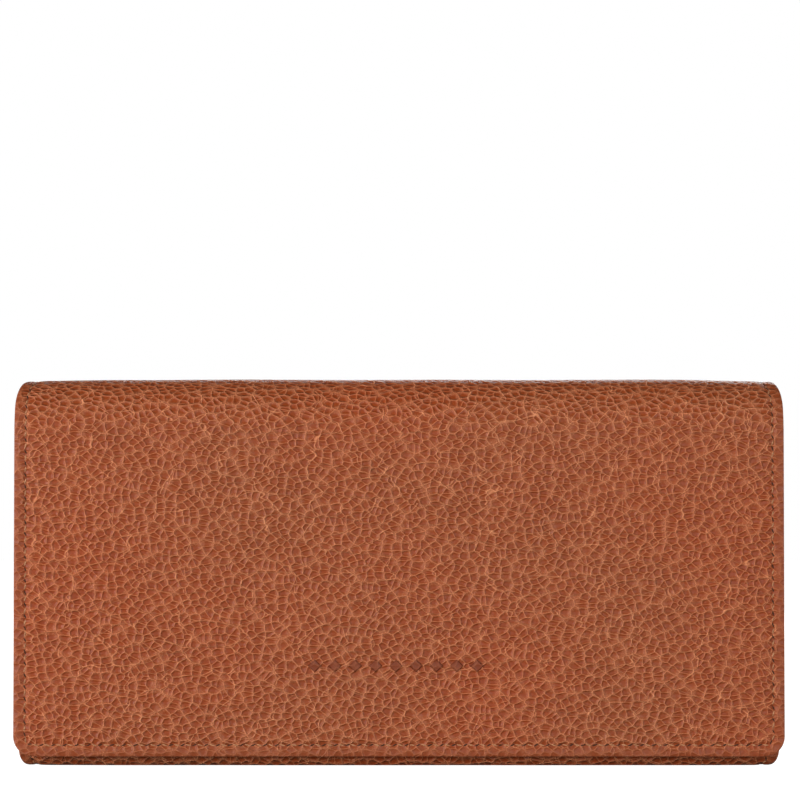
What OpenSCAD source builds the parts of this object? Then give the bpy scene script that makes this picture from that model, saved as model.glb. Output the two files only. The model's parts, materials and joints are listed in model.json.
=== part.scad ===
// Long wallet with a fold-over flap.
// It stands on its base with the flap face towards -Y. X runs along its width.
// Layers are placed by their Y from the flap face to the back face.
// Each one follows from the layer before it.

/* [Body] */
// Width across the flap
flap_w = 190; // [180:1:200]
// Width across the body behind the flap
body_w = 188; // [178:1:198]
// Height of the closed wallet
wallet_h = 95.5; // [94:0.5:104]
// Thickness from the flap's face to the back face
wallet_t = 29; // [28.5:0.5:33]
// Height of the front panel under the flap
front_h = 72; // [64:1:74]
// Height of the coin pocket's walls
pocket_h = 74; // [70:1:75]
// Gap between the table and the flap's lower edge
flap_lift = 2.5; // [2:0.5:6]

/* [Folds] */
// Outer radius of the fold over the flap's top
flap_roll = 13; // [11:0.5:13]
// Outer radius of the fold over the back's top
back_roll = 9; // [8:0.5:10]
// Outer radius of the fold under the front panel
front_base_roll = 3.5; // [3:0.5:4]
// Outer radius of the fold under the back panel
back_base_roll = 4; // [3:0.5:4.5]

/* [Leather] */
// Thickness of the outer leather
cover_t = 1.2; // [1:0.1:1.3]
// Thickness of the stiffening board
board_t = 0.5; // [0.4:0.1:0.6]
// Thickness of the lining
lining_t = 0.6; // [0.5:0.1:0.7]
// Thickness of the coin pocket's walls
wall_t = 0.8; // [0.7:0.1:0.9]
// Thickness of the gusset leather
gusset_t = 0.6; // [0.5:0.1:0.7]

/* [Compartments] */
// Depth of the front note compartment
note_gap = 5.2; // [4.8:0.1:5.4]
// Depth inside the coin pocket
coin_gap = 5; // [4.8:0.1:5.2]
// Height of the highest card slot's mouth
slot_top = 87; // [84:0.5:87]
// Drop from one card slot's mouth to the next
slot_drop = 7.5; // [6:0.5:8]

/* [Seams] */
// Distance from an edge to its stitching
seam_inset = 2.8; // [2.4:0.1:3.2]
// Width of the thread line
thread_w = 0.6; // [0.4:0.1:0.8]
// Depth of the thread line
thread_d = 0.25; // [0.2:0.05:0.3]

/* [Snap and zip] */
// Height of the snap above the base
snap_z = 20; // [16:1:30]
// Distance from the middle to each end of the zip's teeth
zip_half = 76; // [70:1:78]
// Length of the zip's pull
pull_l = 12; // [9:0.5:12]

/* [Hidden] */
$fn = 48;

leather = "#a05a3a";
lining_leather = "#8f5236";
board_grey = "#b9ab98";
thread_tan = "#b98a5a";
cloth = "#b59a7c";
metal = "#d8c08a";

// Layers from front to back, as Y
flap_face = -wallet_t / 2;
flap_lining_face = flap_face + cover_t + board_t + lining_t;
snap_gap = 1.6;
front_face = flap_lining_face + snap_gap;
front_inner = front_face + cover_t + board_t + lining_t;
pocket_face = front_inner + note_gap;
coin_front = pocket_face + wall_t;
coin_rear = coin_front + coin_gap;
pocket_back = coin_rear + wall_t;
back_face = wallet_t / 2;
back_inner = back_face - cover_t - board_t - lining_t;
slip_t = 0.6;
layer_gap = 0.1;
slip_face = back_inner - slip_t - layer_gap;
slot_rows = 4;
slot_pitch = 0.7;
slot_t = 0.6;
slot_h = 46;
column_gap = 0.8;
slots_front = slip_face - slot_rows * slot_pitch;

// Folds, as [Y, Z] of each centre
flap_roll_at = [flap_face + flap_roll, wallet_h - flap_roll];
back_roll_at = [back_face - back_roll, wallet_h - back_roll];
front_base_at = [front_face + front_base_roll, front_base_roll];
back_base_at = [back_face - back_base_roll, back_base_roll];
arc_steps = 10;

// Side edges
side_x = body_w / 2;
spine_pull_in = 2.2;
spine_corner = 7;
base_pull_in = 2;
base_corner = 4.5;
flap_corner = 5;
past = 0.2;
lining_inset = 1.2;
board_inset = 4.5;
roll_clear = 0.5;
lining_foot = back_base_roll + roll_clear;
front_foot = front_base_roll + roll_clear;
inner_inset = 1;
inner_side = side_x - inner_inset;
base_in = cover_t + lining_t;

// Gussets
flange_w = 5.5;
gusset_inset = 0.5;
gusset_reach = 14;
gusset_side = side_x - gusset_inset;
fold_x = side_x - gusset_reach;
bend_x = gusset_side - flange_w;
gusset_foot = 5;
fold_gap = 0.2;

// Zip
chain_y = (coin_front + coin_rear) / 2;
chain_half = 1.9;
chain_t = 1.6;
chain_slit = 0.4;
chain_rise = 1.2;
chain_z = pocket_h + chain_rise;
tape_t = 0.5;
tape_drop = 10;
tape_past = 4;
bag_t = 0.3;
bag_drop = 1;
tooth_pitch = 2;
tooth_l = 1.1;
root_y = -1;
stop_l = 1.5;
stop_over = 0.1;
slider_l = 9;
slider_from_end = 6;
slider_x = zip_half - slider_from_end;
slider_rise = 0.9;
slider_top = chain_z + chain_t + slider_rise;
slider_clear = 0.2;
plate_t = 0.7;
plate_half = 3;
low_half = 1.8;
lip_t = 0.7;
web_l = 3;
web_t = 0.4;
pin_r = 0.45;
pin_rise = 0.75;
pin_z = slider_top + pin_rise;
bail_half = 0.8;
bail_gap = 1.6;
bail_post = 0.7;
bail_clear = 0.1;
bail_t = 0.6;
arm_out = 2.1;
arm_w = 1.1;
arm_overlap = 0.5;
tab_at = 3;
tab_hole_r = 0.8;

// Snap
socket_r = 6;
socket_bore = 2.2;
socket_rise = 0.8;
stud_r = 5;
stud_head = 1.9;
stud_neck = 1.5;
stud_base = 0.5;
stud_reach = 1.9;
cap_t = 0.6;
cap_bevel = 0.6;
snap_bevel = 0.3;
head_at = 0.4;
head_drop = 0.9;
plate_past = 0.5;

function arc(at, r, from, to) =
    [for (i = [0:arc_steps]) let (a = from + (to - from) * i / arc_steps) at + r * [cos(a), sin(a)]];

function reversed(points) = [for (i = [len(points) - 1:-1:0]) points[i]];

// A band of the flap's section between two depths below its outer surface.
function flap_band(near, far) = concat(
    arc(flap_roll_at, flap_roll - near, 135, 180),
    [[flap_face + near, 0], [flap_face + far, 0]],
    reversed(arc(flap_roll_at, flap_roll - far, 135, 180))
);

function spine_line(d) = concat(
    reversed(arc(flap_roll_at, flap_roll - d, 90, 135)),
    reversed(arc(back_roll_at, back_roll - d, 45, 90))
);

function spine_band(near, far) = concat(spine_line(near), reversed(spine_line(far)));

// The back, the base and both lower folds, up to the front panel's crease.
function back_line(d) = concat(
    reversed(arc(back_roll_at, back_roll - d, 0, 45)),
    reversed(arc(back_base_at, back_base_roll - d, -90, 0)),
    reversed(arc(front_base_at, front_base_roll - d, 180, 270))
);

function back_band(near, far) = concat(back_line(near), reversed(back_line(far)));

function front_band(near, far) = [
    [front_face + near, front_base_roll], [front_face + near, front_h],
    [front_face + far, front_h], [front_face + far, front_base_roll]
];

// A corner of an outline in X and Z, as a quarter ellipse from the side up or down to an edge.
function corner(half, edge, size, up) = [
    for (i = [0:arc_steps])
        let (a = 90 * i / arc_steps)
        [half - size[0] + size[0] * cos(a), edge - up * size[1] * (1 - sin(a))]
];

// An outline in X and Z, even about the middle. foot and top are its corners' [width, height].
function outline(half, low, high, foot, top) =
    let (side = concat(reversed(corner(half, low, foot, -1)), corner(half, high, top, 1)))
    concat(side, [for (p = reversed(side)) [-p[0], p[1]]]);

function flap_outline(inset) = outline(
    flap_w / 2 - inset, flap_lift + inset, wallet_h + past,
    [flap_corner - inset, flap_corner - inset], [spine_pull_in, spine_corner]
);

function body_outline(inset) = outline(
    side_x - inset, -past, wallet_h + past,
    [base_pull_in, base_corner], [spine_pull_in, spine_corner]
);

module along_x(section, length) {
    translate([-length / 2, 0, 0]) rotate([90, 0, 90]) linear_extrude(length) polygon(section);
}

module along_y(face) {
    translate([0, wallet_t, 0]) rotate([90, 0, 0]) linear_extrude(2 * wallet_t) polygon(face);
}

// A curved sheet: a section along X, cut to an outline seen from the front.
module sheet(section, face) {
    intersection() {
        along_x(section, flap_w + 10);
        along_y(face);
    }
}

module seam_ring(section, outer, inner) {
    difference() {
        sheet(section, outer);
        along_y(inner);
    }
}

module slab(x, y, z) {
    translate([x[0], y[0], z[0]]) cube([x[1] - x[0], y[1] - y[0], z[1] - z[0]]);
}

// A turned piece about the snap's axis, which runs along +Y: section points are [radius, Y].
module snap_turned(section) {
    translate([0, 0, snap_z]) rotate([-90, 0, 0]) rotate_extrude() polygon(section);
}

module snap_hole(r) {
    translate([0, -wallet_t, snap_z]) rotate([-90, 0, 0]) cylinder(h = 2 * wallet_t, r = r);
}

// Outer leather and its threads

module back_stitches() {
    color(thread_tan)
        seam_ring(back_band(0, thread_d), body_outline(seam_inset), body_outline(seam_inset + thread_w));
}

module back_cover() {
    color(leather) difference() {
        sheet(back_band(0, cover_t), body_outline(0));
        back_stitches();
    }
}

module spine_stitches() {
    color(thread_tan)
        seam_ring(spine_band(0, thread_d), flap_outline(seam_inset), flap_outline(seam_inset + thread_w));
}

module spine_cover() {
    color(leather) difference() {
        sheet(spine_band(0, cover_t), flap_outline(0));
        spine_stitches();
    }
}

module flap_stitches() {
    color(thread_tan)
        seam_ring(flap_band(0, thread_d), flap_outline(seam_inset), flap_outline(seam_inset + thread_w));
}

module flap_cover() {
    color(leather) difference() {
        sheet(flap_band(0, cover_t), flap_outline(0));
        flap_stitches();
    }
}

module front_stitches() {
    color(thread_tan)
        seam_ring(front_band(0, thread_d), body_outline(seam_inset), body_outline(seam_inset + thread_w));
}

module front_cover() {
    color(leather) difference() {
        sheet(front_band(0, cover_t), body_outline(0));
        front_stitches();
        snap_hole(stud_neck);
    }
}

// Boards and linings

module back_board() {
    color(board_grey) slab(
        [-side_x + board_inset, side_x - board_inset],
        [back_face - cover_t - board_t, back_face - cover_t],
        [back_base_roll + 1, wallet_h - back_roll]
    );
}

module flap_board() {
    half = flap_w / 2 - board_inset;
    color(board_grey) difference() {
        slab(
            [-half, half],
            [flap_face + cover_t, flap_face + cover_t + board_t],
            [flap_lift + board_inset, wallet_h - flap_roll]
        );
        snap_hole(socket_r + plate_past);
    }
}

module front_board() {
    color(board_grey) difference() {
        slab(
            [-side_x + board_inset, side_x - board_inset],
            [front_face + cover_t, front_face + cover_t + board_t],
            [front_base_roll + 1, front_h - 1]
        );
        snap_hole(stud_neck);
    }
}

module back_lining() {
    color(lining_leather) slab(
        [-inner_side, inner_side], [back_inner, back_inner + lining_t],
        [lining_foot, wallet_h - back_roll + 1.5]
    );
}

module base_lining() {
    color(lining_leather) slab(
        [-inner_side + 1, inner_side - 1], [front_base_at[0], back_base_at[0]], [cover_t, base_in]
    );
}

module spine_lining() {
    color(lining_leather) sheet(spine_band(cover_t, cover_t + lining_t), flap_outline(lining_inset));
}

module flap_lining() {
    color(lining_leather) difference() {
        sheet(flap_band(cover_t + board_t, cover_t + board_t + lining_t), flap_outline(lining_inset));
        snap_hole(socket_r);
    }
}

module front_lining() {
    color(lining_leather) difference() {
        slab(
            [-inner_side, inner_side], [front_inner - lining_t, front_inner],
            [front_foot, front_h]
        );
        snap_hole(stud_neck);
    }
}

// Card slots, sewn in two columns to the slip pocket's wall

module slip_pocket_wall() {
    color(lining_leather) slab(
        [-inner_side, inner_side], [slip_face, slip_face + slip_t],
        [lining_foot, slot_top + 1]
    );
}

// Row 1 is the highest and the furthest back, and the last row reaches the foot of the wall.
module card_slot(side, row) {
    mouth = slot_top - (row - 1) * slot_drop;
    foot = (row == slot_rows) ? lining_foot : mouth - slot_h;
    near = slip_face - row * slot_pitch;
    color(leather) mirror([side < 0 ? 1 : 0, 0, 0])
        slab([column_gap / 2, inner_side], [near, near + slot_t], [foot, mouth]);
}

// Gussets: each is two leaves.
// A leaf lies along the wall that it is sewn to, and slants in to the fold.

module leaf(side, wall, towards, high) {
    middle = wall[0] + (wall[1] - wall[0]) / 2;
    tip = middle - towards * fold_gap / 2;
    y = wall[0];
    color(lining_leather) mirror([side < 0 ? 1 : 0, 0, 0])
        translate([0, 0, gusset_foot]) linear_extrude(high - gusset_foot) polygon([
            [gusset_side, y], [bend_x, y], [fold_x, tip - towards * gusset_t],
            [fold_x, tip], [bend_x, y + towards * gusset_t], [gusset_side, y + towards * gusset_t]
        ]);
}

rear_walls = [slots_front, pocket_back];
front_walls = [pocket_face, front_inner];
rear_gusset_h = pocket_h;
front_gusset_h = front_h - 1;

module rear_back_leaf(side) { leaf(side, rear_walls, -1, rear_gusset_h); }
module rear_pocket_leaf(side) { leaf(side, reversed(rear_walls), 1, rear_gusset_h); }
module front_pocket_leaf(side) { leaf(side, front_walls, -1, front_gusset_h); }
module front_front_leaf(side) { leaf(side, reversed(front_walls), 1, front_gusset_h); }

// Coin pocket

pocket_lift = 0.8;
pocket_foot = base_in + pocket_lift;
pocket_side_inset = 6;
pocket_side_x = inner_side - pocket_side_inset;

module pocket_front_wall() {
    color(leather) slab([-inner_side, inner_side], [pocket_face, coin_front], [pocket_foot, pocket_h]);
}

module pocket_rear_wall() {
    color(leather) slab([-inner_side, inner_side], [coin_rear, pocket_back], [pocket_foot, pocket_h]);
}

module pocket_base() {
    color(leather) slab(
        [-inner_side, inner_side], [coin_front, coin_rear],
        [pocket_foot, pocket_foot + wall_t]
    );
}

module pocket_side(side) {
    color(leather) mirror([side < 0 ? 1 : 0, 0, 0]) slab(
        [pocket_side_x, pocket_side_x + wall_t], [coin_front, coin_rear],
        [pocket_foot + wall_t, pocket_h]
    );
}

module pocket_bag() {
    foot = pocket_foot + wall_t;
    high = pocket_h - tape_drop - bag_drop;
    color(cloth) along_x([
        [coin_front, foot], [coin_front, high], [coin_front + bag_t, high],
        [coin_front + bag_t, foot + bag_t], [coin_rear - bag_t, foot + bag_t],
        [coin_rear - bag_t, high], [coin_rear, high], [coin_rear, foot]
    ], 2 * pocket_side_x);
}

// Zip, along the top of the coin pocket.
// Each half is drawn for the front, and the rear one is its mirror image.

module zip_half_at(rear) {
    translate([0, chain_y, 0]) mirror([0, rear ? 1 : 0, 0]) children();
}

module zip_tape(rear) {
    outer = -coin_gap / 2;
    tape_z = chain_z + (chain_t - tape_t) / 2;
    color(cloth) zip_half_at(rear) along_x([
        [outer, pocket_h - tape_drop], [outer, tape_z + tape_t], [-chain_half, tape_z + tape_t],
        [-chain_half, tape_z], [outer + tape_t, tape_z], [outer + tape_t, pocket_h - tape_drop]
    ], 2 * (zip_half + tape_past));
}

module zip_teeth(rear) {
    count = floor(2 * zip_half / tooth_pitch) - 1;
    last_x = -zip_half + count * tooth_pitch;
    tooth = [[0, root_y], [0, -chain_slit], [tooth_l, -chain_slit], [tooth_l, root_y]];
    color(metal) zip_half_at(rear) translate([rear ? tooth_pitch / 2 : 0, 0, chain_z])
        linear_extrude(chain_t) polygon(concat(
            [[last_x, -chain_half], [-zip_half, -chain_half]],
            [for (i = [0:count - 1], corner = tooth) corner + [-zip_half + i * tooth_pitch, 0]],
            [[last_x, root_y]]
        ));
}

stop_band = [chain_z - stop_over, chain_z + chain_t + stop_over];

module zip_top_stops() {
    color(metal) for (rear = [false, true]) zip_half_at(rear)
        slab([zip_half, zip_half + stop_l], [-chain_half, -chain_slit], stop_band);
}

module zip_bottom_stop() {
    color(metal) slab(
        [-zip_half - stop_l, -zip_half - stop_over], [chain_y - chain_half, chain_y + chain_half],
        stop_band
    );
}

// Slider: two plates joined by a web between the rows of teeth, and a bail over the top.
module zip_slider_body() {
    run = [slider_x - slider_l / 2, slider_x + slider_l / 2];
    lip_z = chain_z + (chain_t + tape_t) / 2 + slider_clear;
    low_top = chain_z - slider_clear;
    plate_foot = slider_top - plate_t;
    bail_top = pin_z + pin_r + bail_clear;
    bail_out = bail_gap / 2 + bail_post;
    color(metal) translate([0, chain_y, 0]) {
        slab(run, [-plate_half, plate_half], [plate_foot, slider_top]);
        for (s = [0, 1]) mirror([0, s, 0])
            slab(run, [plate_half - lip_t, plate_half], [lip_z, plate_foot]);
        slab(run, [-low_half, low_half], [low_top - plate_t, low_top]);
        slab([slider_x - web_l / 2, slider_x + web_l / 2], [-web_t / 2, web_t / 2], [low_top, plate_foot]);
        for (x = [slider_x - bail_out, slider_x + bail_gap / 2])
            slab([x, x + bail_post], [-bail_half, bail_half], [slider_top, bail_top]);
        slab(
            [slider_x - bail_out, slider_x + bail_out], [-bail_half, bail_half],
            [bail_top, bail_top + bail_t]
        );
    }
}

module zip_pull_tab() {
    end_x = -pull_l + arm_out;
    color(metal) translate([slider_x, chain_y, pin_z]) {
        rotate([90, 0, 0]) cylinder(h = 2 * arm_out, r = pin_r, center = true);
        for (s = [0, 1]) mirror([0, s, 0])
            slab([-tab_at - arm_overlap, 0], [arm_out - arm_w, arm_out], [-pin_r, pin_r]);
        difference() {
            union() {
                slab([end_x, -tab_at], [-arm_out, arm_out], [-pin_r, pin_r]);
                translate([end_x, 0, 0]) cylinder(h = 2 * pin_r, r = arm_out, center = true);
            }
            translate([end_x, 0, 0]) cylinder(h = 4 * pin_r, r = tab_hole_r, center = true);
        }
    }
}

// Snap

module snap_socket() {
    near = flap_lining_face - lining_t;
    face = flap_lining_face + socket_rise;
    color(metal) snap_turned([
        [socket_bore, near], [socket_r, near], [socket_r, face - snap_bevel],
        [socket_r - snap_bevel, face], [socket_bore, face]
    ]);
}

module snap_socket_plate() {
    near = flap_lining_face - lining_t - board_t;
    r = socket_r + plate_past;
    color(metal) snap_turned([[0, near], [r, near], [r, near + board_t], [0, near + board_t]]);
}

module snap_stud() {
    tip = front_face - stud_reach;
    base = front_face - stud_base;
    color(metal) snap_turned([
        [0, tip], [stud_neck, tip], [stud_head, tip + head_at], [stud_neck, tip + head_drop],
        [stud_neck, base], [stud_r - snap_bevel, base], [stud_r, front_face],
        [stud_neck, front_face], [stud_neck, front_inner], [0, front_inner]
    ]);
}

module snap_stud_cap() {
    color(metal) snap_turned([
        [0, front_inner], [stud_r, front_inner], [stud_r - cap_bevel, front_inner + cap_t],
        [0, front_inner + cap_t]
    ]);
}

back_cover();
back_board();
back_lining();
base_lining();
back_stitches();
slip_pocket_wall();
card_slot(-1, 1);  // card_slot_left_1
card_slot(-1, 2);  // card_slot_left_2
card_slot(-1, 3);  // card_slot_left_3
card_slot(-1, 4);  // card_slot_left_4
card_slot(1, 1);  // card_slot_right_1
card_slot(1, 2);  // card_slot_right_2
card_slot(1, 3);  // card_slot_right_3
card_slot(1, 4);  // card_slot_right_4
rear_back_leaf(-1);  // rear_gusset_left_back_leaf
rear_back_leaf(1);  // rear_gusset_right_back_leaf
spine_cover();
spine_lining();
spine_stitches();
flap_cover();
flap_board();
flap_lining();
flap_stitches();
snap_socket();
snap_socket_plate();
front_cover();
front_board();
front_lining();
front_stitches();
snap_stud();
snap_stud_cap();
front_front_leaf(-1);  // front_gusset_left_front_leaf
front_front_leaf(1);  // front_gusset_right_front_leaf
pocket_front_wall();
pocket_rear_wall();
pocket_base();
pocket_side(-1);  // pocket_side_left
pocket_side(1);  // pocket_side_right
pocket_bag();
front_pocket_leaf(-1);  // front_gusset_left_pocket_leaf
front_pocket_leaf(1);  // front_gusset_right_pocket_leaf
rear_pocket_leaf(-1);  // rear_gusset_left_pocket_leaf
rear_pocket_leaf(1);  // rear_gusset_right_pocket_leaf
zip_tape(false);  // zip_tape_front
zip_tape(true);  // zip_tape_rear
zip_teeth(false);  // zip_teeth_front
zip_teeth(true);  // zip_teeth_rear
zip_top_stops();
zip_bottom_stop();
zip_slider_body();
zip_pull_tab();
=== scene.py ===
import json
import math
import random

import bmesh
import bpy
from mathutils import Matrix, Vector, noise


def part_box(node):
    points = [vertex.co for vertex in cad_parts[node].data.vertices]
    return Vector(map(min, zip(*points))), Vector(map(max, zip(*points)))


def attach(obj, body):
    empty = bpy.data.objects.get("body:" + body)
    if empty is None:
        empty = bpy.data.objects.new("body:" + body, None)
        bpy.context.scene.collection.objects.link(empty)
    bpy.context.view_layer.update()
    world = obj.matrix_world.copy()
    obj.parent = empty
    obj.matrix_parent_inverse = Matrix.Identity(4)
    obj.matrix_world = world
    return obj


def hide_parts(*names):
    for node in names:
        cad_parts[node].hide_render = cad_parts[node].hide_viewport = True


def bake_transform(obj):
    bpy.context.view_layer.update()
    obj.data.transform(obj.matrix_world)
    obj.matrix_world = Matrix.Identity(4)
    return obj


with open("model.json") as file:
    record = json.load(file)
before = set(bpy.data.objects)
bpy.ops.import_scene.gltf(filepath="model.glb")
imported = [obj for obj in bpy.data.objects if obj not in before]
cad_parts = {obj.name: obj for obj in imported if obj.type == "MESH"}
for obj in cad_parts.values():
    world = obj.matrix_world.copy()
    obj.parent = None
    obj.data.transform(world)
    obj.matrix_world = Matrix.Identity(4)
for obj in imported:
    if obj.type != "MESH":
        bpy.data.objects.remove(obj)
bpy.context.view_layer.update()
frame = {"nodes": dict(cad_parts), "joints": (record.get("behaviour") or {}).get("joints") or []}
mm = 0.001
rightAngle = math.pi / 2


def inMm(**sizes):
    return {key: size * mm for key, size in sizes.items()}


joints = {joint["name"]: joint for joint in frame["joints"]}

# where the leather turns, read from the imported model
flapLow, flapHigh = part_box("flap_cover")
frontLow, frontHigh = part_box("front_cover")
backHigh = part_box("back_cover")[1]
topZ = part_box("spine_cover")[1].z
hingeShare = 1 - math.cos(math.pi / 4)
flapRoll = (joints["flap_fold"]["pos_m"][1] - flapLow.y) / hingeShare
backRoll = (backHigh.y - joints["spine_fold"]["pos_m"][1]) / hingeShare
creaseZ = joints["front_fan"]["pos_m"][2]
spineMidY = (flapLow.y + flapRoll + backHigh.y - backRoll) / 2
baseMidY = (frontLow.y + backHigh.y) / 2


def walk(path, run):
    # the point and the outward direction after that length of the path
    a, b = path["start"]
    heading = path["heading"]
    left = run
    for index, (length, turn) in enumerate(path["legs"]):
        last = index == len(path["legs"]) - 1
        step = left if last else min(left, length)
        if turn:
            radius = length / turn
            after = heading + step / radius
            a += radius * (math.sin(after) - math.sin(heading))
            b += radius * (math.cos(heading) - math.cos(after))
            heading = after
        else:
            a += step * math.cos(heading)
            b += step * math.sin(heading)
        left -= step
        if left <= 0:
            break
    return (a, b), (math.sin(heading), -math.cos(heading))


def lengthOf(path):
    return sum(length for length, turn in path["legs"])


def quarter(radius):
    return (radius * rightAngle, rightAngle)


pulledIn = {"topPull": (2.2 * mm, 7 * mm), "footPull": (2 * mm, 4.5 * mm)}


def narrowing(sheet, z):
    # how far the side edge is pulled in at the top fold and at the foot
    taken, spare = 0, 0.2 * mm
    for end, beyond in (("topPull", z - topZ - spare), ("footPull", -spare - z)):
        pull, height = pulledIn[end]
        beyond += height
        if sheet[end] and beyond > 0:
            taken += pull * (1 - math.sqrt(max(0, 1 - (beyond / height) ** 2)))
    return taken


def endDistance(sheet, run):
    # distance along the sheet to its nearer real end
    total = lengthOf(sheet["path"])
    return min(run if sheet["startEdge"] else 1, total - run if sheet["endEdge"] else 1)


def widthAt(sheet, run):
    # half width before the corners are rounded
    total = lengthOf(sheet["path"])
    flare = sheet["flare"] * smooth(run, total - sheet["flareRun"], total)
    return sheet["half"] + flare - narrowing(sheet, walk(sheet["path"], run)[0][1])


def halfAt(sheet, run):
    half = widthAt(sheet, run)
    corner, fromEnd = sheet["corner"], endDistance(sheet, run)
    if fromEnd < corner:
        half -= corner - math.sqrt(max(0, corner ** 2 - (corner - fromEnd) ** 2))
    return half


def edgeDistance(sheet, x, run):
    fromSide = widthAt(sheet, run) - abs(x)
    fromEnd, corner = endDistance(sheet, run), sheet["corner"]
    if fromSide < corner and fromEnd < corner:
        return corner - math.hypot(corner - fromSide, corner - fromEnd)
    return min(fromSide, fromEnd)


def smooth(value, low, high):
    share = min(1, max(0, (value - low) / (high - low)))
    return share * share * (3 - 2 * share)


def relief(sheet, x, run, point):
    # how far the outer face stands out from its plain path
    away = edgeDistance(sheet, x, run)
    lift = sheet["pillow"] * smooth(away, 2 * mm, 26 * mm)
    lift += sheet["wave"] * noise.noise(point / (24 * mm) + Vector((3.1, 0.7, 5.3)))
    if sheet["seam"]:
        groove = (away - sheet["seam"]) / (0.45 * mm)
        lift -= sheet["seamDepth"] * math.exp(-groove * groove)
        lift -= sheet["seamDepth"] * 0.5 * smooth(away, sheet["seam"] + 2.5 * mm, sheet["seam"])
    lift -= sheet["edgeRoll"] * (1 - min(1, max(0, away) / (1.1 * mm))) ** 2
    return lift


def placeOn(sheet, x, run, depth):
    (a, b), (na, nb) = walk(sheet["path"], run)
    along = Vector((x, a, b))
    shown = 1 - 0.9 * min(1, depth / sheet["thickness"])
    out = relief(sheet, x, run, along) * shown - depth - sheet["depth"](x, run)
    if sheet["plan"]:
        side = -1 if sheet["mirror"] else 1
        return Vector((side * (a + na * out), b + nb * out, sheet["middleZ"] + x))
    return Vector((x + sheet["middleX"], a + na * out, b + nb * out))


def leatherSheet(path, half, thickness, **given):
    sheet = {
        "path": path, "half": half, "thickness": thickness, "corner": 1.2 * mm,
        "startEdge": True, "endEdge": True, "topPull": False, "footPull": False,
        "pillow": 0, "wave": 0, "seam": 0, "seamDepth": 0, "edgeRoll": 0.12 * mm,
        "depth": lambda x, run: 0, "plan": False, "mirror": False, "middleZ": 0, "middleX": 0,
        "topSeam": False, "flare": 0, "flareRun": 20 * mm, "uvStart": 0, "bandStep": 0.3 * mm,
        "bandWidth": 5.4 * mm, "step": 1.6 * mm, "arcStep": 0.8 * mm, "bevel": 0.3 * mm,
    }
    sheet.update(given)
    return sheet


def edgeBand(sheet):
    # the closer rows near an edge, as distances from it
    return [i * sheet["bandStep"] for i in range(round(sheet["bandWidth"] / sheet["bandStep"]) + 1)]


def crossings(sheet):
    # places across the sheet, as shares of its half width, closer together near both edges
    band = edgeBand(sheet)
    band = [d for d in band if d < sheet["half"] * 0.8]
    inner = 2 * (sheet["half"] - band[-1])
    count = max(2, round(inner / sheet["step"]))
    middle = [band[-1] + inner * i / count for i in range(1, count)]
    fromLeft = band + middle + [2 * sheet["half"] - d for d in reversed(band)]
    return [d / sheet["half"] - 1 for d in fromLeft]


def stations(sheet):
    # places along the sheet, closer together round its folds and near its real ends
    found, passed = [0], 0
    for length, turn in sheet["path"]["legs"]:
        step = sheet["arcStep"] if turn else sheet["step"]
        count = max(1, math.ceil(length / step))
        found += [passed + length * (i + 1) / count for i in range(count)]
        passed += length
    band = edgeBand(sheet)
    if sheet["startEdge"]:
        found = band + [s for s in found if s > band[-1] + sheet["bandStep"]]
    if sheet["endEdge"]:
        found = [s for s in found if s < passed - band[-1] - sheet["bandStep"]]
        found += [passed - d for d in reversed(band)]
    return found


def finishMesh(bm, name, materials, sharpAngle=38):
    mesh = bpy.data.meshes.new(name)
    bm.to_mesh(mesh)
    bm.free()
    for material in materials:
        mesh.materials.append(material)
    mesh.polygons.foreach_set("use_smooth", [True] * len(mesh.polygons))
    mesh.set_sharp_from_angle(angle=math.radians(sharpAngle))
    piece = bpy.data.objects.new(name, mesh)
    bpy.context.scene.collection.objects.link(piece)
    return piece


def softened(bm, edges, offset, segments=2, **more):
    bmesh.ops.bevel(
        bm, geom=edges, offset=offset, segments=segments, profile=0.5, affect="EDGES", material=-1, **more,
    )


def thickened(bm, faces, height):
    # pulls a flat shape into a slab, and gives the points of its new side
    made = bmesh.ops.extrude_face_region(bm, geom=faces)["geom"]
    moved = [item for item in made if isinstance(item, bmesh.types.BMVert)]
    bmesh.ops.translate(bm, vec=(0, 0, height), verts=moved)
    return moved


def settle(piece, bodies, nodes=(), fold=None):
    # carried by one body, or, when it lies across the joint between two, only baked where it stands
    if fold:
        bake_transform(piece)
    else:
        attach(piece, *bodies)
    if nodes:
        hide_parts(*nodes)


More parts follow.
